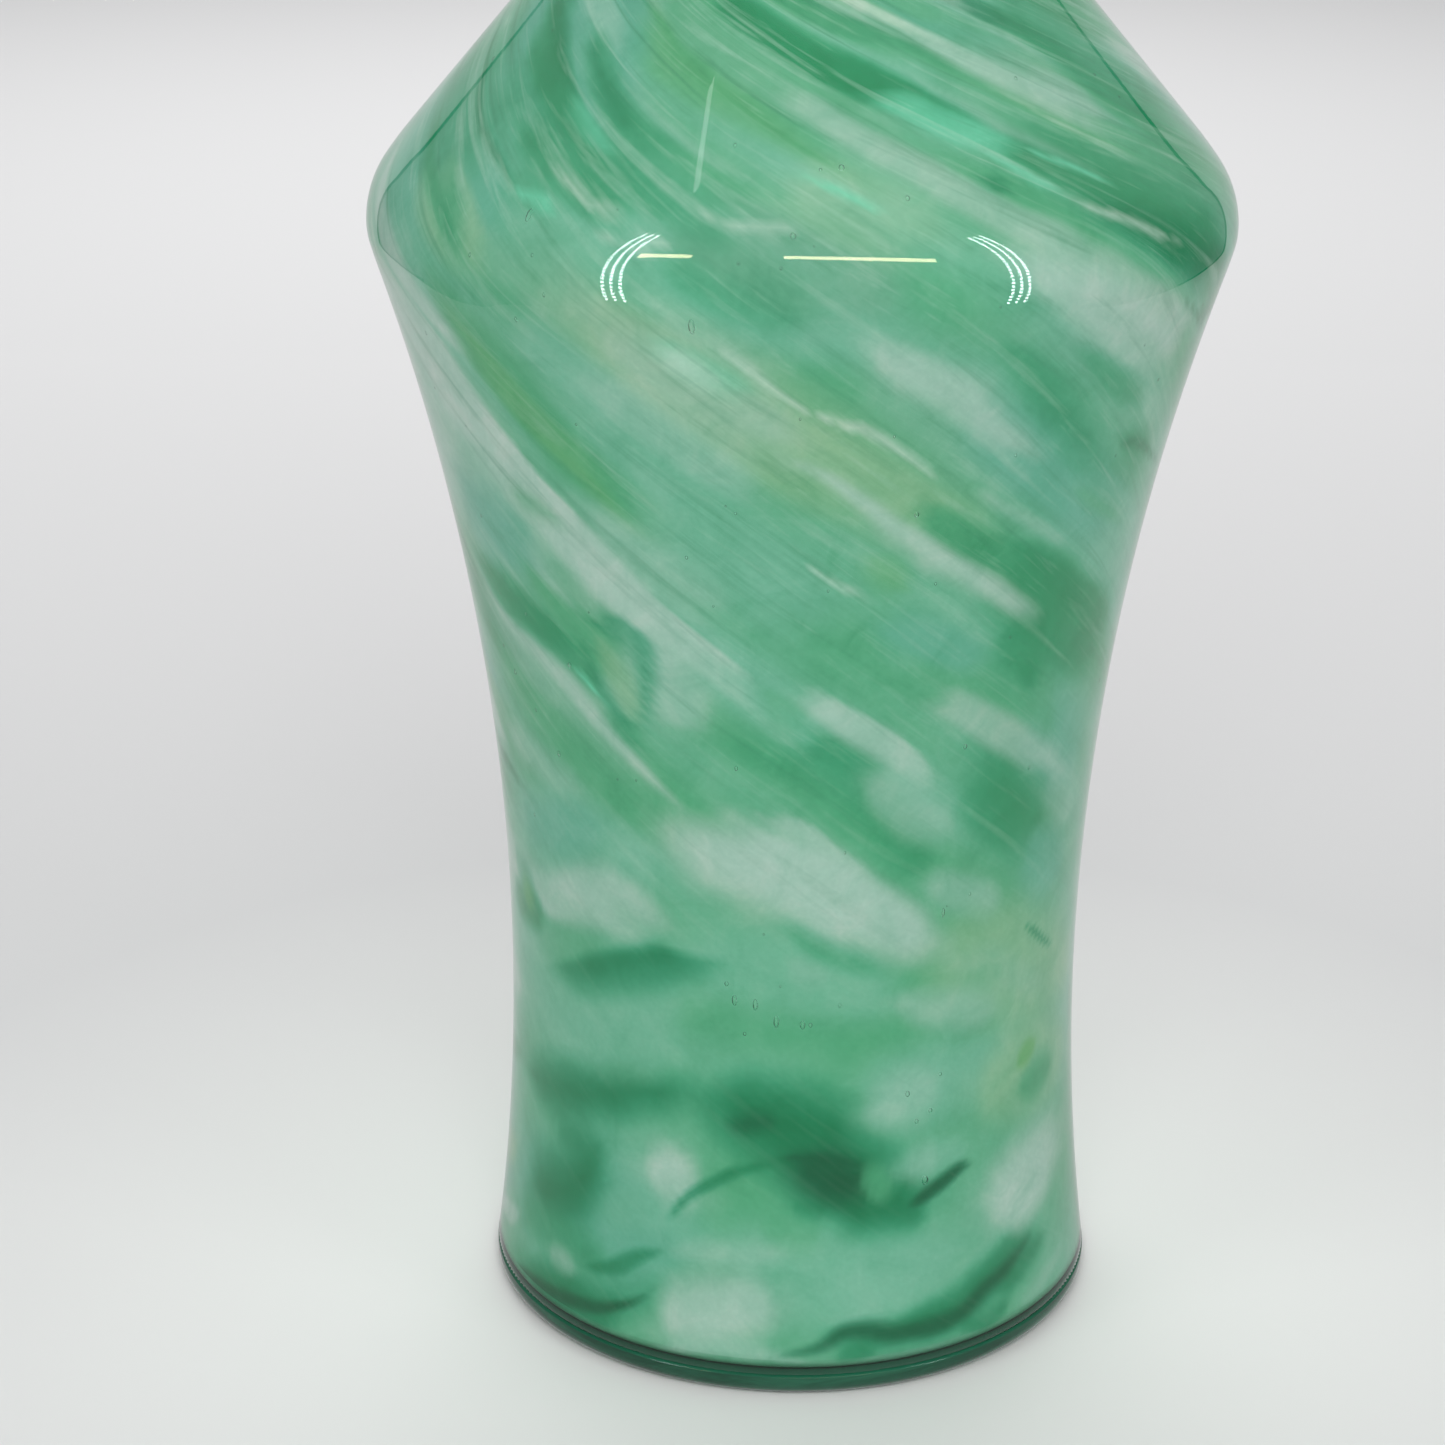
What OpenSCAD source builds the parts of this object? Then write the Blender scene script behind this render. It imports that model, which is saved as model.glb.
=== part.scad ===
// Hand blown art glass vase: a waisted, shouldered body with a narrow neck and a flared mouth.
// The wall is cased glass. From the outside in it has a clear casing, a layer of coloured bands
// that the maker's twist has drawn into helices, and an opal lining. A thick clear green gather
// under them makes the foot. All the layers are fused face to face.
// Millimetres, +Z up, with the origin at the centre of the foot on the surface it stands on.

/* [Body] */
// Outer radius at the waist
waist_r = 51.2; // [47:0.1:56]
// Height of the waist
waist_z = 60; // [50:1:72]
// Largest outer radius, at the shoulder
shoulder_r = 73.4; // [70:0.1:78]
// Height of the shoulder's widest line
shoulder_z = 196.4; // [186:0.1:206]
// Rounding of the shoulder below its widest line
shoulder_low_round = 10; // [7:0.5:20]
// Rounding of the shoulder above its widest line
shoulder_round = 17.5; // [12:0.5:24]
// Slope of the cone above the shoulder, from the vertical
cone_angle = 40.6; // [36:0.1:46]

/* [Neck and mouth] */
// Outer radius at the narrowest place of the neck
neck_r = 24; // [20:0.5:28]
// Rounding from the cone into the neck, and from the neck into the mouth
neck_round = 30; // [24:1:36]
// Length of the straight stretch of the neck
neck_len = 6.2; // [2:0.1:14]
// Angle through which the mouth flares
mouth_flare = 50; // [35:1:65]

/* [Glass layers] */
// Thickness of the clear casing
casing_t = 2.0; // [1.6:0.1:2.6]
// Thickness of the layer that holds the coloured bands
bands_t = 1.2; // [1.1:0.1:1.6]
// Thickness of the opal lining
lining_t = 1.3; // [1:0.1:2]
// Angle of the mouth's flare that the casing makes alone, where it rolls over the layers' ends
lip_roll = 10; // [6:1:14]

/* [Foot] */
// Thickness of the foot gather
foot_t = 4; // [3.5:0.5:6]
// Rounding of the foot's lower edge
foot_round = 3; // [2:0.5:3]
// Radius of the ground pontil mark in the underside
pontil_r = 18; // [12:1:24]
// Depth of the pontil mark
pontil_depth = 1.2; // [0.6:0.1:2]
// Thickness of the casing under the opal lining's floor
casing_floor_t = 1.2; // [0.8:0.1:2]
// Thickness of the opal lining's floor
lining_floor_t = 3; // [2:0.5:5]
// Rounding of the opal lining's lower corner, on its outside
floor_round = 4; // [3:0.5:5]
// Rounding of the corner inside the vase, between its floor and its wall
inner_round = 8; // [5:0.5:9]

/* [Swirl] */
// Number of green bands; as many milky bands lie between them
band_pairs = 6; // [4:1:7]
// How far the bands turn between the foot and the lip, in degrees
swirl_turn = 330; // [180:10:400]
// How far a band's edge wanders from an even helix, in degrees
edge_wander = 4; // [0:0.5:5]
// Width of a dark trail, in degrees
trail_width = 3; // [2:0.5:4]

/* [Hidden] */
$fn = 128;

// How many straight steps each arc of the profile takes
flare_steps = 24;
shoulder_low_steps = 3;
shoulder_high_steps = 4;
neck_steps = 6;
lip_steps = 5;
corner_steps = 8;
rim_steps = 10;
// Clearance round each coloured band, which takes up the flats between its facets
band_side_gap = 0.25;    // degrees
band_skin_gap = 0.05;    // mm at the outer face
band_inner_gap = 0.30;   // mm at the inner face
band_steps = 4;          // steps across a band
band_foot_z = 22;        // lowest edge of the bands, above the rounded corner inside

wall_t = casing_t + bands_t + lining_t;
lining_out = casing_t + bands_t;

// The long hollow curve from the waist to the shoulder touches the lower shoulder arc, which ends
// upright on the widest line
flare_out = shoulder_r - waist_r;
flare_rise = shoulder_z - waist_z;
flare_round = (flare_out ^ 2 + flare_rise ^ 2) / (2 * flare_out) - shoulder_low_round;
flare_c = [waist_r + flare_round, waist_z];
flare_top = asin(flare_rise / (flare_round + shoulder_low_round));

// The cone leaves the shoulder's upper arc and touches the neck's arc
cone_foot = [shoulder_r - shoulder_round + shoulder_round * cos(cone_angle),
             shoulder_z + shoulder_round * sin(cone_angle)];
neck_c_r = neck_r + neck_round;
neck_c = [neck_c_r, cone_foot[1]
          + (neck_round - (neck_c_r - cone_foot[0]) * cos(cone_angle)) / sin(cone_angle)];
mouth_c = neck_c + [0, neck_len];

function arc(c, r, a0, a1, n) =
    [for (i = [0 : n]) c + r * [cos(a0 + (a1 - a0) * i / n), sin(a0 + (a1 - a0) * i / n)]];

// Angle on the flare at height z, at depth t under the outer face
function flare_at(z, t) = asin((z - waist_z) / (flare_round + t));

// Stretch of the flare from angle a0 to angle a1, at depth t
function flare(t, a0, a1, n) = arc(flare_c, flare_round + t, 180 - a0, 180 - a1, n);

// The wall at depth t from the top of the flare to the mouth's angle lip
function upper_wall(t, lip, n) = concat(
    arc([shoulder_r - shoulder_low_round, shoulder_z], shoulder_low_round - t,
        -flare_top + flare_top / shoulder_low_steps, 0, shoulder_low_steps - 1),
    arc([shoulder_r - shoulder_round, shoulder_z], shoulder_round - t,
        cone_angle / shoulder_high_steps, cone_angle, shoulder_high_steps - 1),
    arc(neck_c, neck_round + t, 180 + cone_angle, 180, neck_steps),
    arc(mouth_c, neck_round + t, 180, 180 - lip, n));

// The wall at depth t from the height where the bands start to the mouth's angle lip
band_foot_a = flare_at(band_foot_z, 0);
function wall(t, lip, n) =
    concat(flare(t, band_foot_a, flare_top, flare_steps), upper_wall(t, lip, n));

// A rounded corner of radius f between a floor at height z and the flare at depth t
function corner_a(t, f, z) = asin((z + f - waist_z) / (flare_round + t + f));
function corner(t, f, z) =
    let (a = corner_a(t, f, z),
         c = flare_c + (flare_round + t + f) * [-cos(a), sin(a)])
    arc(c, f, -90, -a, corner_steps);

// From the corner up to the height where the bands start
function corner_wall(t, f, z) =
    concat(corner(t, f, z), flare(t, corner_a(t, f, z), band_foot_a, 2));

function backwards(list) = [for (i = [len(list) - 1 : -1 : 0]) list[i]];

bands_lip = mouth_flare - lip_roll;
lining_floor_z = foot_t + casing_floor_t;
cavity_floor_z = lining_floor_z + lining_floor_t;

// Thick foot of clear green glass, with a rounded edge and a ground pontil mark
module foot_gather() {
    mark_r = (pontil_r ^ 2 + pontil_depth ^ 2) / (2 * pontil_depth);
    mark_a = asin(pontil_r / mark_r);
    color([0.16, 0.42, 0.30, 0.75])
    rotate_extrude()
    polygon(concat(
        arc([0, pontil_depth - mark_r], mark_r, 90, 90 - mark_a, corner_steps),
        corner(0, foot_round, 0),
        flare(0, corner_a(0, foot_round, 0), flare_at(foot_t, 0), 2),
        [[0, foot_t]]));
}

// Outer layer of pale clear glass, which rolls over at the lip and closes the wall
module clear_casing() {
    mid = wall_t / 2;
    rim_c = mouth_c + (neck_round + mid) * [-cos(mouth_flare), sin(mouth_flare)];
    color([0.62, 0.86, 0.74, 0.35])
    rotate_extrude()
    polygon(concat(
        [[0, foot_t]],
        flare(0, flare_at(foot_t, 0), band_foot_a, 2),
        wall(0, mouth_flare, lip_steps + 1),
        arc(rim_c, mid, -mouth_flare, 180 - mouth_flare, rim_steps),
        arc(mouth_c, neck_round + wall_t, 180 - mouth_flare, 180 - bands_lip, 2),
        backwards(wall(casing_t, bands_lip, lip_steps)),
        backwards(corner_wall(lining_out, floor_round, lining_floor_z)),
        [[0, lining_floor_z]]));
}

// Innermost layer of white opal glass, a closed cup that holds the water
module opal_lining() {
    color([0.86, 0.93, 0.88])
    rotate_extrude()
    polygon(concat(
        [[0, lining_floor_z]],
        corner_wall(lining_out, floor_round, lining_floor_z),
        wall(lining_out, bands_lip, lip_steps),
        backwards(wall(wall_t, bands_lip, lip_steps)),
        backwards(corner_wall(wall_t, inner_round, cavity_floor_z)),
        [[0, cavity_floor_z]]));
}

// The two faces of the band layer, station by station up the wall
band_out = wall(casing_t + band_skin_gap, bands_lip - 1, lip_steps);
band_in = wall(lining_out - band_inner_gap, bands_lip - 1, lip_steps);
stations = len(band_out);

// How far the maker's twist has turned the glass at height z, in degrees
function swirl(z) = -swirl_turn * z / mouth_c[1];

// Where edge k of the bands lies at station i, in degrees round the vase
function edge(k, i) =
    let (z = band_out[i][1])
    k * 180 / band_pairs + swirl(z) + edge_wander * sin(137 * k + 3 * z);

function round_axis(p, a) = [p[0] * cos(a), p[0] * sin(a), p[1]];

// One ring of points round a band's cross-section, from angle a to angle b at station i
function band_ring(i, a, b, n) = concat(
    [for (j = [0 : n]) round_axis(band_out[i], a + (b - a) * j / n)],
    [for (j = [n : -1 : 0]) round_axis(band_in[i], a + (b - a) * j / n)]);

// A band that fills the layer from edge k0 plus d0 to edge k1 plus d1, in n steps across
module band(k0, d0, k1, d1, n) {
    ring = 2 * n + 2;
    points = [for (i = [0 : stations - 1]) each band_ring(i, edge(k0, i) + d0, edge(k1, i) + d1, n)];
    sides = [for (i = [0 : stations - 2]) each
        [for (k = [0 : ring - 1])
            let (a = i * ring + k,
                 b = i * ring + (k + 1) % ring,
                 c = a + ring,
                 d = b + ring)
            each k < n ? [[a, d, b], [a, c, d]] : [[a, c, b], [b, c, d]]]];
    top = (stations - 1) * ring;
    caps = [for (j = [0 : n - 1])
        let (e = ring - 1 - j)
        each [[j, j + 1, e], [j + 1, e - 1, e],
              [top + j, top + e, top + j + 1], [top + j + 1, top + e, top + e - 1]]];
    polyhedron(points, concat(sides, caps), convexity = 6);
}

// Green glass drawn out into broad helical bands
module green_bands() {
    color([0.26, 0.60, 0.42])
    for (k = [0 : band_pairs - 1])
        band(2 * k, trail_width / 2 + band_side_gap, 2 * k + 1, -band_side_gap, band_steps);
}

// Milky glass that fills the layer between the green bands
module milky_bands() {
    color([0.68, 0.82, 0.74])
    for (k = [0 : band_pairs - 1])
        band(2 * k + 1, band_side_gap, 2 * k + 2, -trail_width / 2 - band_side_gap, band_steps);
}

// Thin dark green trails along one edge of each green band
module dark_trails() {
    color([0.10, 0.38, 0.26])
    for (k = [0 : band_pairs - 1])
        band(2 * k, -trail_width / 2, 2 * k, trail_width / 2, 1);
}

foot_gather();
clear_casing();
green_bands();
milky_bands();
dark_trails();
opal_lining();
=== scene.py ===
"""Hand blown art glass vase: a clear casing over a swirl of green and milky glass, lined with opal."""

import math

import bpy
import numpy as np
from mathutils import Matrix, Vector


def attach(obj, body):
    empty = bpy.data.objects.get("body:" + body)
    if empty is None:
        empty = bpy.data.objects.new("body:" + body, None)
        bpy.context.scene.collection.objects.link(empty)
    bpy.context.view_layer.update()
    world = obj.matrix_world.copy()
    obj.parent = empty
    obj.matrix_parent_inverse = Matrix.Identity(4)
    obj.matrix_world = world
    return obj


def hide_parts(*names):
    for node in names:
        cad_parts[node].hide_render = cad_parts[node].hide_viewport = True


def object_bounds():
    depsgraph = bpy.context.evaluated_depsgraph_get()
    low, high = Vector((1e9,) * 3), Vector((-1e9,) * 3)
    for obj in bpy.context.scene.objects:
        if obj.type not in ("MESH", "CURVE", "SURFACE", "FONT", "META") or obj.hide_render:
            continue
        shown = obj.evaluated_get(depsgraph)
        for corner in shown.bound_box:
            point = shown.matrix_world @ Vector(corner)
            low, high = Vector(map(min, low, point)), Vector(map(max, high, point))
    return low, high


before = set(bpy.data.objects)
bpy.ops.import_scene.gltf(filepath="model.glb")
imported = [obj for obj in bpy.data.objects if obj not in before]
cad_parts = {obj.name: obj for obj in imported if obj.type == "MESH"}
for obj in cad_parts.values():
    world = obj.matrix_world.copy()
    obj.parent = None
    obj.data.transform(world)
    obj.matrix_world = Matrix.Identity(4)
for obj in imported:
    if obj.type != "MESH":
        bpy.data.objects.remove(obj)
cad_low, cad_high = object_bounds()

MM = 0.001

# The wall's layers, as depths under the outer face, in mm
SWIRL_OUT = 2.0
SWIRL_IN = 3.2
LINING_OUT = 3.0
WALL = 4.5
CASING_IN = 2.3          # the clear glass reaches a little into the colour behind it

# Heights of the layers' floors above the surface that the vase stands on, in mm
FOOT_TOP = 4.0
CASING_BOTTOM = 3.95
SWIRL_FLOOR = 4.15
CASING_FLOOR = 5.1
LINING_FLOOR = 5.2
SWIRL_FLOOR_IN = 5.5
CAVITY_FLOOR = 8.2

# Rounding of the layers' lower corners and of the corner inside, and the pontil mark's size, in mm
LOWER_CORNER = 2.5
CAVITY_CORNER = 8.0
PONTIL_RADIUS = 18.0
PONTIL_DEPTH = 1.2

MOUTH_FLARE = 50         # degrees that the mouth flares outward
RIM_RADIUS = WALL / 2
RIM_GAP = 0.4            # height in mm between the last CAD ring that is followed and the rim
LIP = 5.2                # length in mm of the clear lip past the ends of the other layers
DATUM = 3.5              # height in mm that distances up the wall are counted from
UNEVEN = 0.002           # how far a ring is drawn in where the blown wall is least round


# ---- the wall's outline

OUTWARD = 0.05           # least share of a face's direction that points away from the axis
SAME_RING = 0.02         # two rings closer in height than this, in mm, are one
STRAIGHT = 0.001         # two chords that turn less than this, in radians, are one
OUTLINE_STEP = 0.5       # length in mm of a step along the outline
FINER = 8                # small steps in each of those while the outline is worked out


def cad_rings():
    """Radius and height of the rings on the outside of the CAD foot and casing, from the foot up."""
    found = {}
    for node in ("foot_gather", "clear_casing"):
        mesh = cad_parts[node].data
        points = np.array([v.co for v in mesh.vertices]) / MM
        for face in mesh.polygons:
            corners = points[list(face.vertices)]
            x, y, _ = corners.mean(0)
            if x * face.normal.x + y * face.normal.y < OUTWARD * math.hypot(x, y):
                continue
            for corner in corners:
                found.setdefault(round(corner[2], 1), []).append((math.hypot(*corner[:2]), corner[2]))
    rings = np.array([np.mean(found[key], 0) for key in sorted(found)])
    rings = rings[np.r_[True, np.diff(rings[:, 1]) > SAME_RING]]
    bent = np.r_[True, np.abs(np.diff(headings(rings))) > STRAIGHT, True]
    return rings[bent | ~(np.r_[True, bent[:-1]] & np.r_[bent[1:], True])]


def headings(curve):
    """Direction of each chord of a curve, in radians."""
    return np.unwrap(np.arctan2(*np.diff(curve, axis=0).T[::-1]))


def lengths(curve):
    """Distance along a curve of each of its points."""
    return np.r_[0, np.cumsum(np.hypot(*np.diff(curve, axis=0).T))]


def along_curve(at, run, curve):
    """Points at these places on a curve whose own points lie at the places in run."""
    return np.column_stack([np.interp(at, run, curve[:, 0]), np.interp(at, run, curve[:, 1])])


def resample(curve, step):
    """The same curve in even steps of about this length."""
    run = lengths(curve)
    return along_curve(np.linspace(0, run[-1], max(2, round(run[-1] / step) + 1)), run, curve)


def smooth(rings, step):
    """An even run of points on a curve along the rings that turns evenly from one chord to the next."""
    run = lengths(rings)
    at = np.linspace(0, run[-1], int(run[-1] / step) * FINER)
    heading = np.interp(at, (run[1:] + run[:-1]) / 2, headings(rings))
    stride = np.column_stack([np.cos(heading), np.sin(heading)])
    curve = rings[0] + np.vstack([(0, 0), np.cumsum((stride[1:] + stride[:-1]) / 2 * at[1], axis=0)])
    curve += (rings[-1] - curve[-1]) * (at / at[-1])[:, None]
    return resample(curve, step)


def find_outline():
    """The outer face from the foot's edge to the end of the mouth, and the rim's centre."""
    rings = cad_rings()
    centre = np.array([rings[-1, 0], cad_high.z / MM - RIM_RADIUS])
    flare = math.radians(MOUTH_FLARE)
    end = centre + RIM_RADIUS * np.array([math.cos(flare), -math.sin(flare)])
    return smooth(np.vstack([rings[rings[:, 1] < end[1] - RIM_GAP], end]), OUTLINE_STEP), centre


OUTLINE, RIM = find_outline()
START = float(np.interp(DATUM, OUTLINE[:, 1], lengths(OUTLINE)))
HEIGHT_UP = lengths(OUTLINE) - START       # distance up the wall of each point of the outline
TOP = float(HEIGHT_UP[-1])
LAYERS_END = TOP - LIP   # where the colour and the opal stop short of the lip


def spaced(low, high, *steps):
    """Distances up the wall from low to high. Each step is a spacing and the place where it ends."""
    run = [low]
    for step, end in steps:
        end = min(end, high)
        if end > run[-1]:
            run += list(np.linspace(run[-1], end, max(1, round((end - run[-1]) / step)) + 1)[1:])
    return np.array(run)


def wall(depth, up):
    """The wall's section at a depth under its outer face, at these distances up the wall."""
    along = np.gradient(OUTLINE, axis=0)
    along /= np.hypot(*along.T)[:, None]
    face = OUTLINE + depth * np.column_stack([-along[:, 1], along[:, 0]])
    return along_curve(up, HEIGHT_UP, face)


def radius_at(up):
    return np.interp(up, HEIGHT_UP, OUTLINE[:, 0])


def height_at(up):
    return np.interp(up, HEIGHT_UP, OUTLINE[:, 1])


def up_at(height):
    return float(np.interp(height, OUTLINE[:, 1], HEIGHT_UP))


def arc(centre, radius, start, end, steps):
    """Points on part of a circle, between two angles in degrees."""
    turn = np.radians(np.linspace(start, end, steps + 1))
    return np.array(centre) + radius * np.column_stack([np.cos(turn), np.sin(turn)])


def level(start, end, steps, height):
    """Points along a level line, without the last one."""
    return np.column_stack([np.linspace(start, end, steps + 1)[:-1], np.full(steps, height)])


def cup(depth, floor, corner, high, *steps):
    """A section from the axis out along a floor, round a corner and up the wall, with its distances up."""
    start = up_at(floor + corner)
    up = spaced(start, high, *steps)
    side = wall(depth, up)
    bend = arc((side[0, 0] - corner, floor + corner), corner, -90, 0, 10)[:-1]
    base = level(0, bend[0, 0], 9, floor)
    # the floor and the corner count as lying below the wall, down to this far
    lowest = corner * 1.5 + 9
    low = start - np.linspace(lowest, 1, len(base) + len(bend))
    return np.vstack([base, bend, side]), np.r_[low, up]


# ---- meshes

RIPPLE_RUN = 60          # mm up the wall that a ripple takes as one radian round it
RIPPLE_SIZE = 0.7        # brings most of a ripple between -1 and 1


def ripple(turn, up, seed, waves, most):
    """A smooth seeded unevenness between about -1 and 1 that closes on itself round the vase."""
    rng = np.random.default_rng(seed)
    total = np.zeros(np.broadcast(turn, up).shape)
    for _ in range(waves):
        around = rng.integers(-most, most + 1)
        rate = rng.uniform(-most, most) / RIPPLE_RUN
        total += np.sin(around * turn + rate * up + rng.uniform(0, 2 * math.pi)) / math.sqrt(waves)
    return total * RIPPLE_SIZE


def out_of_round(turn, height):
    """How far the blown wall is drawn in, as a share of the radius."""
    return UNEVEN * (0.5 + 0.5 * np.clip(ripple(turn, height, seed=3, waves=12, most=5), -1, 1))


def place(turn, section):
    """Points of a section turned about the axis, with the wall's unevenness, in metres."""
    r = section[:, 0][:, None] * (1 - out_of_round(turn, section[:, 1][:, None]))
    z = np.broadcast_to(section[:, 1][:, None], r.shape)
    return np.stack([r * np.sin(turn), -r * np.cos(turn), z], -1) * MM


def even_turns(count):
    return np.radians(np.arange(count) * 360 / count - 180)


def revolve(section, turn):
    """Points and faces of a closed solid from a section that begins and ends on the axis."""
    grid = place(np.atleast_2d(turn), section[1:-1])
    rings, columns = grid.shape[:2]
    points = np.vstack([grid.reshape(-1, 3), [(0, 0, section[0, 1] * MM), (0, 0, section[-1, 1] * MM)]])
    here = np.arange(columns)
    following = np.roll(here, -1)
    quads = []
    for ring in range(rings - 1):
        low, high = ring * columns, (ring + 1) * columns
        quads.append(np.column_stack([low + here, low + following, high + following, high + here]))
    first, last = len(points) - 2, len(points) - 1
    bottom = np.column_stack([np.full(columns, first), following, here])
    high = (rings - 1) * columns
    top = np.column_stack([np.full(columns, last), high + here, high + following])
    return points, np.vstack(quads), np.vstack([bottom, top])


def add_object(name, data):
    thing = bpy.data.objects.new(name, data)
    bpy.context.scene.collection.objects.link(thing)
    return thing


def piece(name, solid, material, nodes):
    """One piece of the vase from its points and faces, in place of these CAD nodes."""
    points, quads, triangles = solid
    mesh = bpy.data.meshes.new(name)
    mesh.from_pydata(points.tolist(), [], quads.tolist() + triangles.tolist())
    mesh.polygons.foreach_set("use_smooth", np.ones(len(mesh.polygons), bool))
    mesh.update()
    mesh.materials.append(material)
    thing = add_object(name, mesh)
    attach(thing, "root")
    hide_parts(*nodes)
    return thing


# ---- the swirl

def linear(red, green, blue):
    """Linear colour from one given as 0-255."""
    return tuple(v / 12.92 if v <= 0.04045 else ((v + 0.055) / 1.055) ** 2.4
                 for v in (red / 255, green / 255, blue / 255))


COLOURS = {name: linear(*colour) for name, colour in {
    "milky": (162, 196, 180),
    "pale": (140, 188, 166),
    "straw": (138, 184, 144),
    "light": (112, 179, 150),
    "teal": (92, 168, 142),
    "green": (78, 162, 118),
    "lime": (96, 166, 100),
    "emerald": (32, 134, 86),
    "deep": (42, 138, 92),
    "dark": (22, 116, 74),
    "ink": (16, 84, 54),
    "sage": (98, 152, 124),
    # aqua: bright glass colour that partly stands in for light shining through the thin wall, a painted glow
    "aqua": (108, 206, 168),
    "white": (200, 222, 208),
}.items()}

DEEP = ("deep", "dark", "ink", "emerald")       # colours that tint what they are laid over

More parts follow.
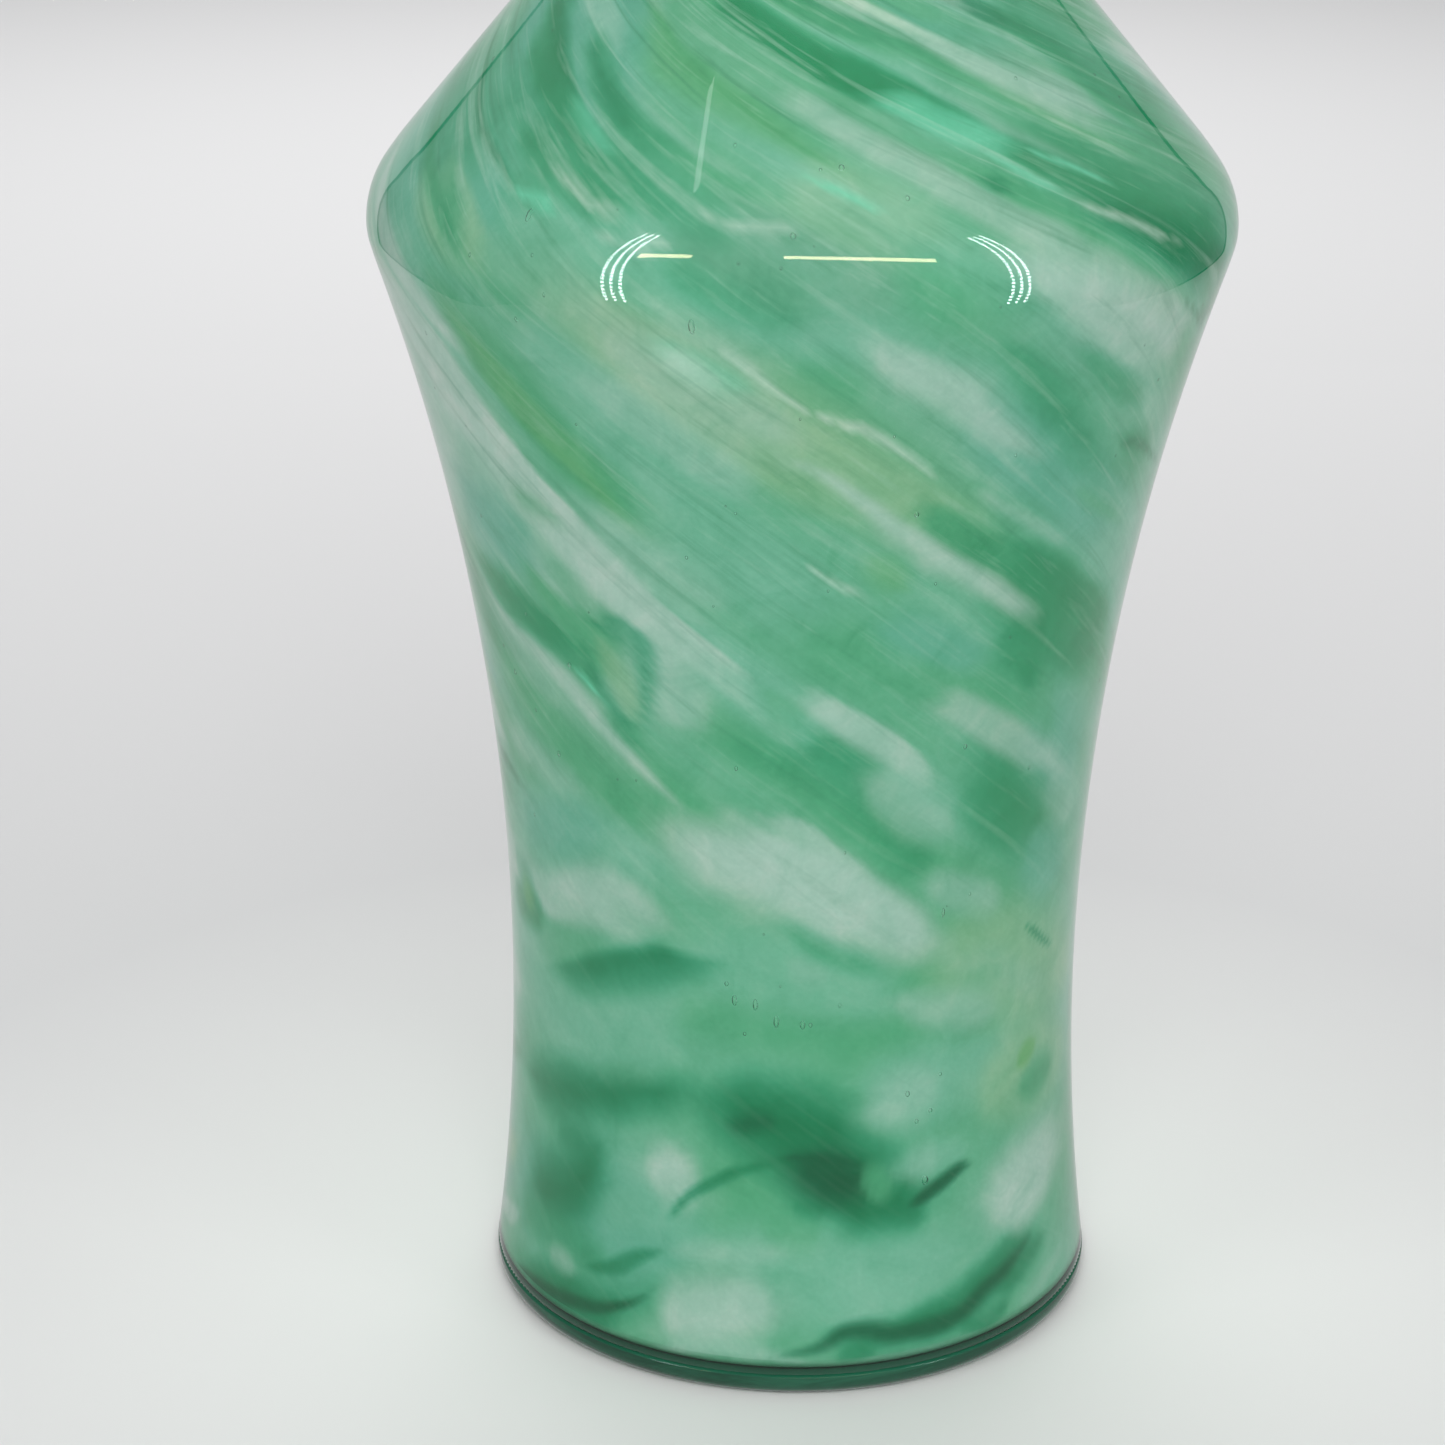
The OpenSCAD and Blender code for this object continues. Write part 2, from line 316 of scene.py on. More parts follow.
# Colour, strength, width and softness in mm, then points as degrees round from the front and mm up the wall.
# A pair of softnesses gives the upper and the lower edge.
STROKES = (
    # low on the left
    ("milky", 0.85, 14, 9, (-25, 6), (-13, 11), (-3, 13)),
    ("pale", 0.7, 4, 3, (-26, 2), (-10, 3), (4, 2)),
    ("deep", 0.55, 10, 8, (-68, 15), (-50, 15), (-36, 15)),
    ("dark", 0.75, 7, 6, (-64, 3), (-50, 4.5), (-40, 5.5), (-33, 9)),
    ("ink", 0.75, 2.4, 1.6, (-68, 2.5), (-55, 3.5), (-46, 4), (-40, 6), (-33, 9), (-28, 12)),
    ("dark", 0.6, 2.6, 2, (-44, 12.5), (-36, 15.5), (-30, 18), (-25, 20.5)),
    ("dark", 0.6, 7, 8, (-60, 20), (-51, 25), (-43, 34)),
    ("light", 0.6, 8, 6, (-40, 25), (-28, 27), (-18, 25)),
    ("pale", 0.6, 5, 5, (-24, 21), (-12, 22), (0, 23)),
    ("milky", 0.4, 4, 4, (-54, 10.5), (-46, 10.5)),
    ("dark", 0.35, 5, 5, (-54, 36), (-46, 36)),
    ("deep", 0.4, 5, 4, (-43, 51), (-35, 53), (-27, 54)),
    ("light", 0.6, 11, 8, (-64, 54), (-40, 57), (-20, 59)),
    ("milky", 0.6, 7, 6, (-29, 35), (-25, 36), (-20, 38)),
    ("dark", 0.55, 1.8, 1.6, (-24, 27), (-20, 32), (-13, 36), (-5, 39), (1, 40)),
    ("ink", 0.45, 4, 4, (-12, 46), (-7, 47), (-3, 47)),
    # low on the right
    ("light", 0.7, 12, 8, (4, 14), (16, 16), (34, 19)),
    ("green", 0.6, 7, 6, (-6, 28), (6, 24)),
    ("dark", 0.5, 3, 3, (33, 5), (40, 4.5), (47, 6)),
    ("dark", 0.6, 6, 5, (20, 7), (34, 9.5), (46, 14.5), (58, 17)),
    ("pale", 0.5, 2.4, 2, (-2, 1.5), (4, 2)),
    ("dark", 0.5, 4, 4, (8, 4.5), (18, 4.5)),
    ("pale", 0.5, 3, 3, (50, 4), (58, 5), (68, 8)),
    ("dark", 0.5, 5, 5, (42, 9), (51, 10.5), (62, 14)),
    ("ink", 0.7, 3.2, 2.6, (-1, 3.5), (5, 6), (10, 8.5), (16, 8.5), (22, 6.5), (30, 6.8), (39, 9.5),
     (47, 12.5), (56, 15.5)),
    ("milky", 0.9, 12, 7, (43, 21), (52, 24), (66, 28)),
    ("ink", 0.6, 8, 8, (1, 39), (8, 37), (16, 34)),
    ("dark", 0.6, 5, 5, (9, 33), (18, 30.5), (28, 29)),
    ("ink", 0.5, 1.8, 1.5, (-3, 40.3), (6, 41), (15, 39)),
    ("green", 0.7, 7, 4, (14, 35), (21, 37)),
    ("light", 0.7, 5, 4, (20, 39), (30, 39), (39, 38)),
    ("ink", 0.75, 3, 2, (24, 31), (31, 33.5), (36, 35.5), (39, 35)),
    ("dark", 0.6, 6, 5, (-6, 45.5), (11, 46)),
    ("pale", 0.7, 9, 7, (14, 48.5), (22, 50.5), (30, 53)),
    ("pale", 0.5, 6, 6, (23, 38), (31, 39)),
    ("dark", 0.4, 4, 4, (0, 31), (7, 30)),
    ("deep", 0.5, 7, 6, (52, 44), (66, 45)),
    ("lime", 0.8, 5, 3, (51.5, 50), (58, 51.5)),
    # under the waist and over it, left
    ("milky", 0.7, 8, 6, (-56, 83), (-47, 84), (-36, 85), (-23, 82)),
    ("deep", 0.35, 6, 5, (-73, 84), (-62, 79)),
    ("dark", 0.5, 7, (3, 7), (-56, 66), (-40, 69), (-28, 73), (-14, 76)),
    ("dark", 0.4, 3.5, 3, (-47, 69), (-41, 70), (-30, 75), (-20, 77)),
    ("deep", 0.8, 8, 5, (-76, 75), (-58, 76)),
    ("lime", 0.5, 5, 4, (-69, 77), (-63, 79)),
    ("teal", 0.6, 11, 7, (-64, 92), (-50, 94), (-38, 98)),
    ("green", 0.65, 13, 8, (-48, 112), (-34, 106), (-20, 101)),
    ("green", 0.6, 6, 4, (-58, 118), (-46, 115), (-37, 110)),
    ("pale", 0.6, 6, 5, (-66, 109), (-54, 105), (-43, 102)),
    ("deep", 0.5, 4, 4, (-45, 128), (-36, 123.5)),
    ("deep", 0.4, 4, 4, (-36, 117), (-26, 114)),
    ("milky", 0.7, 4, 3, (-66, 136), (-53, 128.5), (-45, 123), (-38, 117), (-30, 111), (-20, 104)),
    ("pale", 0.7, 8, 5, (-21, 133), (-20, 118)),
    ("deep", 0.2, 6, 5, (-13, 117.5), (-1, 113.5)),
    ("milky", 0.5, 10, 8, (-26, 100), (-10, 95), (4, 90)),
    # under the waist and over it, right
    ("deep", 0.45, 8, 5, (2, 118), (10, 114), (18, 106)),
    ("deep", 0.3, 8, 7, (9, 108), (18, 102), (26, 92)),
    ("deep", 0.6, 13, 9, (32, 108), (42, 101), (52, 91)),
    ("teal", 0.6, 12, 7, (48, 92), (66, 82)),
    ("pale", 0.5, 8, 6, (54, 104), (66, 92)),
    ("green", 0.6, 8, 5, (37, 132), (44, 124), (54, 111)),
    ("emerald", 0.5, 3.5, 3, (41, 127.5), (46, 122)),
    ("milky", 0.6, 6, 4, (22, 124), (34, 118), (46, 111), (60, 103)),
    ("green", 0.5, 6, 5, (-6, 126.5), (3, 123)),
    ("milky", 0.7, 5.5, (1.6, 5), (1, 127), (5, 123.5), (10, 119.5), (20, 113.5), (26, 109)),
    ("pale", 0.65, 9, 7, (12, 110), (22, 105), (32, 99)),
    ("milky", 0.9, 13, (4, 9), (-18, 97), (0, 93), (8, 89), (18, 84), (30, 78)),
    ("milky", 0.6, 3, (1.2, 4), (-8, 106), (4, 99), (12, 93.5), (22, 86)),
    ("pale", 0.7, 7, 6, (24, 92), (34, 87), (43, 81)),
    ("pale", 0.5, 4, 4, (-1, 77), (8, 73.5)),
    ("deep", 0.4, 4, 4, (-4, 84), (6, 80), (18, 75)),
    ("pale", 0.3, 6, 5, (30, 76), (46, 68), (62, 61)),
    ("green", 0.4, 5, 5, (33, 71), (44, 69)),
    ("pale", 0.6, 7, 5, (20, 69), (32, 66), (43, 63)),
    ("dark", 0.5, 1.8, 1.4, (52, 75.5), (58, 72), (64, 69)),
    # between the waist and the shoulder, left
    ("milky", 0.85, 15, 7, (-76, 190), (-64, 180), (-52, 163)),
    ("teal", 0.7, 11, 6, (-66, 150), (-54, 147), (-46, 143)),
    ("pale", 0.5, 8, 6, (-48, 147), (-38, 144), (-30, 139)),
    ("lime", 0.45, 5, 4, (-51, 188), (-46, 178), (-42, 172), (-37, 167), (-31, 162), (-23, 154)),
    ("milky", 1.0, 10, (1.4, 7), (-60, 186), (-55, 173), (-51, 165.5), (-46, 158.5), (-40, 153),
     (-33, 147.5), (-27, 143), (-22, 139), (-15, 134), (-9, 129.5)),
    ("milky", 0.8, 9, 6, (-42, 151), (-30, 145), (-19, 138)),
    ("pale", 0.7, 8, 7, (-34, 157), (-22, 149), (-10, 141)),
    ("green", 0.6, 4, 3, (-50, 157.5), (-44, 154.5), (-38, 151.5)),
    ("emerald", 0.55, 5.5, 4, (-66, 142.5), (-57, 137), (-50, 133), (-44, 130), (-37, 131)),
    ("milky", 0.6, 7, 5, (-38, 141), (-30, 139), (-24, 134), (-22, 126)),
    ("pale", 0.4, 6, 5, (-36, 125), (-29, 120)),
    ("dark", 0.35, 3, 3, (-38, 136), (-32, 135), (-27, 134), (-25.5, 128), (-26, 119)),
    ("straw", 0.5, 5, 3, (-34, 132), (-31, 126), (-28, 119)),
    ("dark", 0.28, 3, 2.6, (-38, 131), (-36, 124), (-30, 118), (-27, 120)),
    ("aqua", 0.8, 1.4, 1, (-41, 125.5), (-35, 121)),
    ("aqua", 0.45, 5, 4, (-18, 189), (-6, 182.5)),
    ("white", 0.4, 3.5, 3, (-17, 187.5), (-10, 183.5)),
    ("white", 0.5, 1.3, 1, (-11, 191), (1, 179)),
    # between the waist and the shoulder, right
    ("emerald", 0.4, 11, 8, (34, 134), (42, 129), (48, 124)),
    ("emerald", 0.4, 6, 5, (50, 140), (58, 134), (66, 128)),
    ("teal", 0.7, 8, 5, (12, 140.5), (22, 135), (33, 129.5)),
    ("deep", 0.35, 5, 3.5, (24, 186), (33, 177), (42, 168), (50, 160)),
    ("deep", 0.5, 5.5, 4, (38, 184), (47, 178), (58, 172)),
    ("milky", 0.7, 7, 5, (30, 200), (36, 196), (44, 192), (52, 187), (60, 182)),
    ("deep", 0.5, 6.5, 4, (18, 158), (25, 152), (32, 146)),
    ("deep", 0.8, 5.5, 4, (31, 151.5), (40, 146), (50, 139.5), (60, 135), (68, 129)),
    ("milky", 0.75, 6, 4, (8, 191), (16, 183), (22, 178), (28, 172), (36, 166.5)),
    ("deep", 0.25, 6, 6, (52, 160), (66, 164)),
    ("milky", 0.8, 4, 3, (-3, 170), (5, 165), (12, 158), (18, 153), (25, 147), (33, 141), (42, 135)),
    ("green", 0.7, 4, 3, (44, 160), (52, 155), (62, 150)),
    ("pale", 0.6, 2.2, 2, (26, 161), (35, 155), (45, 149)),
    ("deep", 0.5, 6, 5, (54, 167), (68, 161)),
    ("deep", 0.5, 6, 5, (55, 138), (67, 132)),
    ("lime", 0.45, 5, 4, (10, 151.5), (18, 145.5)),
    ("white", 0.5, 1.3, 1, (0, 180), (10, 173), (20, 164.5)),
    ("white", 0.4, 1.3, 1, (1, 150.5), (11, 145.5)),
    ("dark", 0.6, 1.7, 1.2, (53, 167), (62, 163), (69, 160), (75, 157)),
    ("dark", 0.6, 2.2, 1.5, (58, 189), (68, 185), (75, 181.5)),
    # above the shoulder, left
    ("straw", 0.6, 9, 5, (-64, 211), (-52, 203), (-43, 196)),
    ("deep", 0.6, 4.5, 3, (-74, 220), (-68, 214), (-60, 209), (-54, 205), (-46, 196)),
    ("pale", 0.6, 5, 4, (-56, 250), (-46, 243), (-36, 237)),
    ("lime", 0.35, 5, 4, (-38, 250), (-27, 239), (-20, 235), (-10, 229), (3, 220), (12, 214)),
    ("milky", 0.6, 6, 3, (-5, 232), (4, 227), (11, 222), (18, 217), (26, 210), (34, 204.5), (42, 198.5),
     (50, 191.5), (58, 185)),
    ("pale", 0.5, 4, 3, (12, 236), (21, 230), (35, 220), (46, 213)),
    ("emerald", 0.9, 6, 3, (-24, 255), (-12, 246), (0, 239), (8, 235.5), (14, 232), (20, 228), (28, 223)),
    ("dark", 0.6, 2.2, 1.6, (-82, 238), (-73, 232), (-67, 228), (-62, 224), (-56, 220), (-48, 215),
     (-41, 210.5)),
    ("emerald", 0.8, 5.5, 4, (-66, 249), (-58, 241), (-50, 233), (-42, 226.5), (-34, 221), (-26, 215)),
    ("dark", 0.6, 4, 3.5, (-62, 245), (-54, 239), (-44, 230), (-38, 226)),
    ("deep", 0.6, 5, 4, (-46, 240), (-36, 232), (-26, 226), (-16, 221)),
    ("dark", 0.35, 1.6, 1.6, (-44, 237), (-34, 230.5), (-24, 225)),
    ("deep", 0.7, 9, 7, (-48, 222), (-36, 216), (-22, 209)),
    ("deep", 0.4, 12, 9, (-58, 237), (-48, 226), (-41, 214)),
    ("deep", 0.35, 11, 9, (-34, 226), (-25, 218), (-18, 208)),
    ("deep", 0.3, 6, 5, (-45, 213), (-33, 208)),
    ("aqua", 0.4, 2.2, 1.8, (-41, 227), (-37, 225), (-32, 222), (-26, 218.5)),
    ("aqua", 0.6, 2, 1.4, (-42, 211), (-34, 207.5)),
    ("white", 0.4, 1.3, 1, (-38, 217.5), (-30, 212), (-23, 207.5)),
    ("white", 0.4, 1.3, 1, (-28, 205), (-14, 203)),
    ("white", 0.3, 1.3, 1, (-15, 212.5), (-8, 210), (1, 207.5)),
    # above the shoulder, right
    ("milky", 0.7, 6, 4, (20, 241.5), (27, 238.5), (35, 234.5), (44, 229.5), (56, 223)),
    ("deep", 0.7, 4, 3, (26, 222), (38, 216), (52, 208)),
    ("dark", 0.5, 3, 2.4, (33, 248), (45, 241)),
    ("emerald", 0.6, 6, 4, (40, 245), (50, 237), (58, 228), (68, 218), (76, 210)),
    ("dark", 0.6, 7, 5, (40, 209), (48, 205), (54, 202), (62, 197), (70, 192)),
    ("milky", 0.5, 6, 5, (54, 187), (64, 182.5)),
    ("deep", 0.8, 6, 5, (64, 191), (78, 183)),
    ("aqua", 0.6, 4.2, 2.2, (11, 231.5), (18, 227.5), (25, 222.5), (33, 219)),
    ("aqua", 0.6, 1.4, 1, (27, 219), (37, 210)),
    ("aqua", 0.6, 1.4, 1, (33, 218.5), (46, 212.5)),
    ("aqua", 0.7, 2, 1.4, (-1, 216.5), (5, 214), (11, 210.5)),
    ("dark", 0.5, 3, 2.4, (25, 216), (29, 214)),
    ("white", 0.4, 1.3, 1, (38, 209), (57, 200)),
    ("white", 0.3, 1.3, 1, (33, 231), (62, 211)),
)


# Broad washes of colour that the strokes above are laid over, written the same way
WASHES = (
    ("teal", 0.7, 26, 16, (-75, 20), (-45, 21), (-15, 24)),
    ("light", 0.8, 18, 10, (-16, 24), (6, 18), (36, 20)),
    ("dark", 0.75, 9, 9, (-70, 41), (-52, 43.5), (-36, 49), (-20, 51)),
    ("dark", 0.7, 12, 12, (-64, 20), (-51, 26), (-40, 38)),
    ("dark", 0.85, 17, 12, (-18, 51), (-6, 48), (5, 43), (12, 37), (22, 33), (30, 33)),
    ("ink", 0.5, 10, 9, (-2, 41), (6, 37.5), (16, 34)),
    ("milky", 0.7, 11, 9, (-30, 34), (-25, 35), (-17, 33)),
    ("light", 0.8, 13, 9, (12, 54), (24, 53), (40, 53), (50, 56)),
    ("straw", 0.6, 18, 10, (38, 50), (54, 48), (74, 44)),
    ("milky", 0.7, 15, 9, (40, 26), (53, 27), (72, 30)),
    ("dark", 0.55, 6, 6, (6, 8), (24, 6.5), (42, 10), (58, 14)),
    ("dark", 0.3, 8, 7, (-74, 4), (-52, 5), (-38, 8), (-24, 14)),
    ("light", 0.6, 12, 9, (-66, 60), (-42, 62), (-22, 65)),
    ("green", 0.7, 12, 8, (-24, 64), (-8, 66), (6, 62)),
    ("light", 0.7, 16, 9, (-24, 76), (-4, 76), (10, 73), (24, 68)),
    ("straw", 0.6, 20, 12, (26, 80), (48, 70), (76, 60)),
    ("light", 0.8, 18, 10, (-72, 92), (-50, 92), (-22, 94)),
    ("milky", 0.6, 17, 9, (-24, 98), (-6, 94), (8, 88), (15, 84)),
    ("green", 0.8, 15, 9, (-66, 124), (-44, 111), (-18, 102)),
    ("deep", 0.3, 12, 8, (-6, 119), (6, 114), (16, 105), (26, 94)),
    ("deep", 0.6, 16, 10, (32, 122), (42, 112), (52, 97), (62, 86)),
    ("teal", 0.7, 16, 10, (46, 118), (64, 100)),
    ("pale", 0.6, 12, 7, (-72, 142), (-56, 130), (-40, 117), (-24, 105)),
    ("emerald", 0.5, 8, 5, (-68, 144), (-54, 135), (-42, 130)),
    ("pale", 0.6, 15, 9, (-30, 133), (-16, 122)),
    ("pale", 0.9, 30, 18, (-84, 182), (-66, 164), (-50, 146)),
    ("teal", 0.7, 13, 8, (-66, 154), (-52, 148), (-44, 144)),
    ("light", 0.8, 20, 12, (-36, 166), (-14, 154), (6, 142)),
    ("green", 0.8, 16, 10, (0, 141), (22, 129), (44, 117)),
    ("deep", 0.8, 18, 10, (30, 147), (46, 136), (66, 122)),
    ("light", 0.9, 20, 12, (-42, 186), (-24, 176), (-6, 164)),
    ("green", 1.0, 12, (7, 3), (-54, 194), (-46, 182), (-39, 171), (-30, 162), (-20, 154)),
    ("straw", 0.75, 19, 9, (-34, 196), (-18, 186), (-4, 176), (12, 165), (28, 152)),
    ("pale", 0.5, 10, 7, (-30, 180), (-18, 173), (-6, 164)),
    ("milky", 0.5, 12, 9, (-26, 190), (-12, 182), (0, 173)),
    ("green", 0.8, 13, 8, (-4, 189), (10, 179), (24, 168), (44, 154)),
    ("pale", 0.4, 14, 9, (8, 185), (22, 173), (38, 160)),
    ("teal", 0.8, 15, 8, (22, 176), (40, 163), (60, 149)),
    ("deep", 0.35, 8, 6, (26, 184), (36, 176), (48, 165), (64, 154)),
    ("milky", 0.7, 12, 7, (26, 203), (42, 192), (62, 178)),
    ("dark", 0.6, 9, 6, (50, 203), (62, 196), (72, 191)),
    ("light", 0.5, 20, 10, (-24, 204), (-8, 200), (14, 193)),
    ("deep", 0.4, 12, 8, (-18, 203), (-8, 200), (2, 196)),
    ("sage", 0.55, 16, 10, (-18, 208), (0, 203), (14, 197)),
    ("pale", 0.4, 12, 8, (-48, 202), (-36, 198), (-22, 192)),
    ("teal", 0.8, 24, 12, (-84, 226), (-62, 214), (-40, 204)),
    ("teal", 0.9, 24, 12, (-70, 250), (-50, 236), (-24, 222)),
    ("green", 0.8, 18, 10, (-36, 250), (-10, 236), (14, 222)),
    ("straw", 0.4, 12, 8, (-4, 215), (8, 212), (20, 206)),
    ("deep", 0.4, 20, 12, (-84, 232), (-70, 224), (-50, 213)),
    ("deep", 0.4, 9, 6, (-28, 222), (-18, 214), (-8, 206)),
    ("deep", 0.5, 9, 7, (56, 217), (70, 208)),
    ("green", 0.6, 20, 10, (20, 240), (42, 226), (64, 212)),
    ("deep", 0.9, 14, 8, (28, 222), (48, 210), (70, 197)),
    ("deep", 0.6, 12, 7, (40, 255), (52, 243), (66, 230), (80, 217)),
)


PATH_STEPS = 5           # straight steps between two points of a stroke
ENDS = 0.03              # how far into its taper a stroke begins and ends, as a share of its length
TAPER = 0.6              # how bluntly a stroke tapers; less is blunter


def through(points):
    """A smooth path through given points."""
    p = np.array(points, float)
    p = np.vstack([2 * p[0] - p[1], p, 2 * p[-1] - p[-2]])
    path = []
    for a, b, c, d in zip(p[:-3], p[1:-2], p[2:-1], p[3:]):
        t = np.linspace(0, 1, PATH_STEPS + 1)[:-1, None]
        bend = (2 * a - 5 * b + 4 * c - d) * t**2 + (3 * b - a - 3 * c + d) * t**3
        path.append(0.5 * (2 * b + (c - a) * t + bend))
    return np.vstack(path + [p[-2:-1]])


def paint(colour, turn, up, reach, tint, strength, width, soft, points):
    """Lay one tapering stroke of colour over the points of the wall."""
    upper, lower = soft if isinstance(soft, tuple) else (soft, soft)
    path = through(points)
    left, right = path[:, 0].min(), path[:, 0].max()
    margin = width / 2 + max(upper, lower)
    middle = (left + right) / 2
    half = (right - left) / 2 + math.degrees(margin / radius_at(path[:, 1]).min())
    away = (turn - middle + 180) % 360 - 180
    near = (np.abs(away) < half) & (up > path[:, 1].min() - margin) & (up < path[:, 1].max() + margin)
    if not near.any():
        return
    across = math.pi / 180 * reach[near]
    x, y = away[near] * across, up[near]
    best = np.full(x.shape, np.inf)
    run = lengths(path)
    share = np.zeros(x.shape)
    over = np.zeros(x.shape)
    for k in range(len(path) - 1):
        ax, ay = (path[k, 0] - middle) * across, path[k, 1]
        dx, dy = (path[k + 1, 0] - path[k, 0]) * across, path[k + 1, 1] - path[k, 1]
        t = np.clip(((x - ax) * dx + (y - ay) * dy) / (dx * dx + dy * dy), 0, 1)
        gap = np.hypot(x - ax - t * dx, y - ay - t * dy)
        nearer = gap < best
        best = np.where(nearer, gap, best)
        share = np.where(nearer, (run[k] + t * (run[k + 1] - run[k])) / run[-1], share)
        over = np.where(nearer, dx * (y - ay) - dy * (x - ax), over)
    edge = np.where(over > 0, upper, lower)
    taper = np.sin(math.pi * (share * (1 - 2 * ENDS) + ENDS)) ** TAPER
    cover = np.clip((width / 2 * taper + edge / 2 - best) / edge, 0, 1)
    cover = (cover * cover * (3 - 2 * cover) * strength * np.clip(taper * 1.5, 0, 1))[:, None]
    below, laid = colour[near], np.array(COLOURS[tint])
    if tint in DEEP:
        colour[near] = below * (laid / below) ** cover
    else:
        colour[near] = below + cover * (laid - below)


# Strokes strewn over the back and the top, where no listed ones are: how many, the seed, the
# lowest and highest in mm up the wall, and the first and last in degrees round from the front
STREWN = ((230, 5, 4, TOP, 84, 276), (150, 6, 246, TOP, -90, 90))
ODDS = {"milky": 5, "pale": 4, "deep": 5, "green": 5, "teal": 4, "light": 3, "dark": 3, "lime": 1,
        "aqua": 1, "white": 1.5, "straw": 1}
THIN = ("dark", "aqua", "white")                # strewn strokes of these colours are thin
SLOPES = ((0, 20), (30, 14), (55, 8), (75, 2), (95, -18), (120, -34))   # mm up, degrees from level
LOW_PART = 80            # strewn strokes that begin below this are short
HIGH_PART = 200          # and above this they are narrow, both in mm up the wall


def random_strokes(count, seed, low, high, start, end):
    """Seeded strokes that follow the swirl."""
    rng = np.random.default_rng(seed)
    odds = np.array([*ODDS.values()])
    for _ in range(count):
        tint = rng.choice([*ODDS], p=odds / odds.sum())
        up, at = rng.uniform(low, high), rng.uniform(start, end)
        thin = tint in THIN
        width = rng.uniform(1.2, 3.5) if thin else rng.uniform(4, 13) * (1 if up < HIGH_PART else 0.55)
        stride = (rng.uniform(14, 34) if up < LOW_PART else rng.uniform(25, 70)) / 5
        points = []
        for _ in range(6):
            points.append((at, up))
            turn = math.radians(np.interp(up, *zip(*SLOPES)) + rng.uniform(-7, 7))
            at += math.degrees(math.cos(turn) * stride / float(radius_at(up)))
            up += math.sin(turn) * stride
        yield tint, rng.uniform(0.5, 0.85), width, (1.2 if thin else width * 0.5), *points


def twist(up, first=None):
    """Turn of the streaks up the wall, in radians, counted from where they begin to follow the twist."""
    at = np.linspace(-20, TOP, 700)
    rate = np.interp(at, (190, 220), (1.28, 1.48)) / np.maximum(radius_at(at), 10)
    if first is not None:
        rate = rate * np.interp(at, (first, first + 35), (0, 1))
    return np.interp(up, at, np.r_[0, np.cumsum((rate[1:] + rate[:-1]) / 2 * np.diff(at))])


def swirl_colour(angle, up):
    """Colour of the coloured layer at points of the wall."""
    reach = np.maximum(radius_at(up), 12)
    along = angle + twist(up)
    drawn = np.clip((up - 60) / 60, 0, 1)
    # seeds 11 to 15 ruffle the edges of the strokes, in mm
    shift = 1.3 * ripple(angle, up, 11, 14, 12) + 0.5 * ripple(angle, up, 12, 14, 34)
    lift = 1.1 * ripple(angle, up, 13, 14, 12) + 0.4 * ripple(angle, up, 14, 14, 34)
    lift = lift + 1.2 * ripple(along, up * 0.25, 15, 12, 40) * drawn
    turn = np.degrees(angle + shift / reach)
    # seeds 21 and 22 make the ground that the strokes lie on
    bands = ripple(along, up * 0.2, 21, 12, 14) * drawn
    cloud = ripple(angle, up, 22, 16, 9)
    mix = np.clip(0.5 + 0.6 * bands + 0.4 * cloud, 0, 1)[..., None]
    colour = np.array(COLOURS["green"]) * (1 - mix) + np.array(COLOURS["light"]) * mix
    strewn = [stroke for patch in STREWN for stroke in random_strokes(*patch)]
    for tint, strength, width, soft, *points in [*strewn, *WASHES, *STROKES]:
        paint(colour, turn, up + lift, reach, tint, strength, width, soft, points)
    return colour


# ---- materials

def hold(node, **values):
    """Set constant values on a node's own sockets. An underscore stands for a space."""
    for key, value in values.items():
        node.inputs[key.replace("_", " ")].default_value = value
    return node


class Nodes:
    """A material's node tree with short ways to add nodes to it."""

    def __init__(self, name):
        self.material = bpy.data.materials.new(name)
        self.material.use_nodes = True
        self.tree = self.material.node_tree
        self.tree.nodes.clear()
        self.output = self.add("OutputMaterial")

    def add(self, kind, links=None, **settings):
        node = self.tree.nodes.new("ShaderNode" + kind)
        for key, value in settings.items():
            setattr(node, key, value)
        for key, source in (links or {}).items():
            self.tree.links.new(source, node.inputs[key])
        return node

    def position(self):
        """Where a point lies in its object's own frame, in metres."""
        return self.add("TexCoord").outputs["Object"]

    def painted(self, name, output):
        """Values that the mesh carries under this name."""
        return self.add("Attribute", attribute_name=name).outputs[output]

    def noise(self, coordinates, scale, detail=2.0, roughness=0.5, distortion=0.0):
        node = self.add("TexNoise", {"Vector": coordinates})
        hold(node, Scale=scale, Detail=detail, Roughness=roughness, Distortion=distortion)
        return node.outputs["Fac"]

    def span(self, value, low, high, to_low, to_high):
        """The value moved from one range to another, and held inside it."""
        node = self.add("MapRange", {"Value": value})
        return hold(node, From_Min=low, From_Max=high, To_Min=to_low, To_Max=to_high).outputs["Result"]

    def mix(self, share, first, second, blend="MIX"):
        """Two colours mixed. Each is a socket, or a constant as linear red, green and blue."""
        node = self.add("Mix", {0: share}, data_type="RGBA", blend_type=blend)
        for socket, value in zip((node.inputs[6], node.inputs[7]), (first, second)):
            if isinstance(value, tuple):
                socket.default_value = (*value, 1)
            else:
                self.tree.links.new(value, socket)
        return node.outputs[2]

    def surface(self, shader):
        self.tree.links.new(shader, self.output.inputs["Surface"])
        return self.material

    def principled(self, links, **values):
        return hold(self.add("BsdfPrincipled", links), **values).outputs[0]


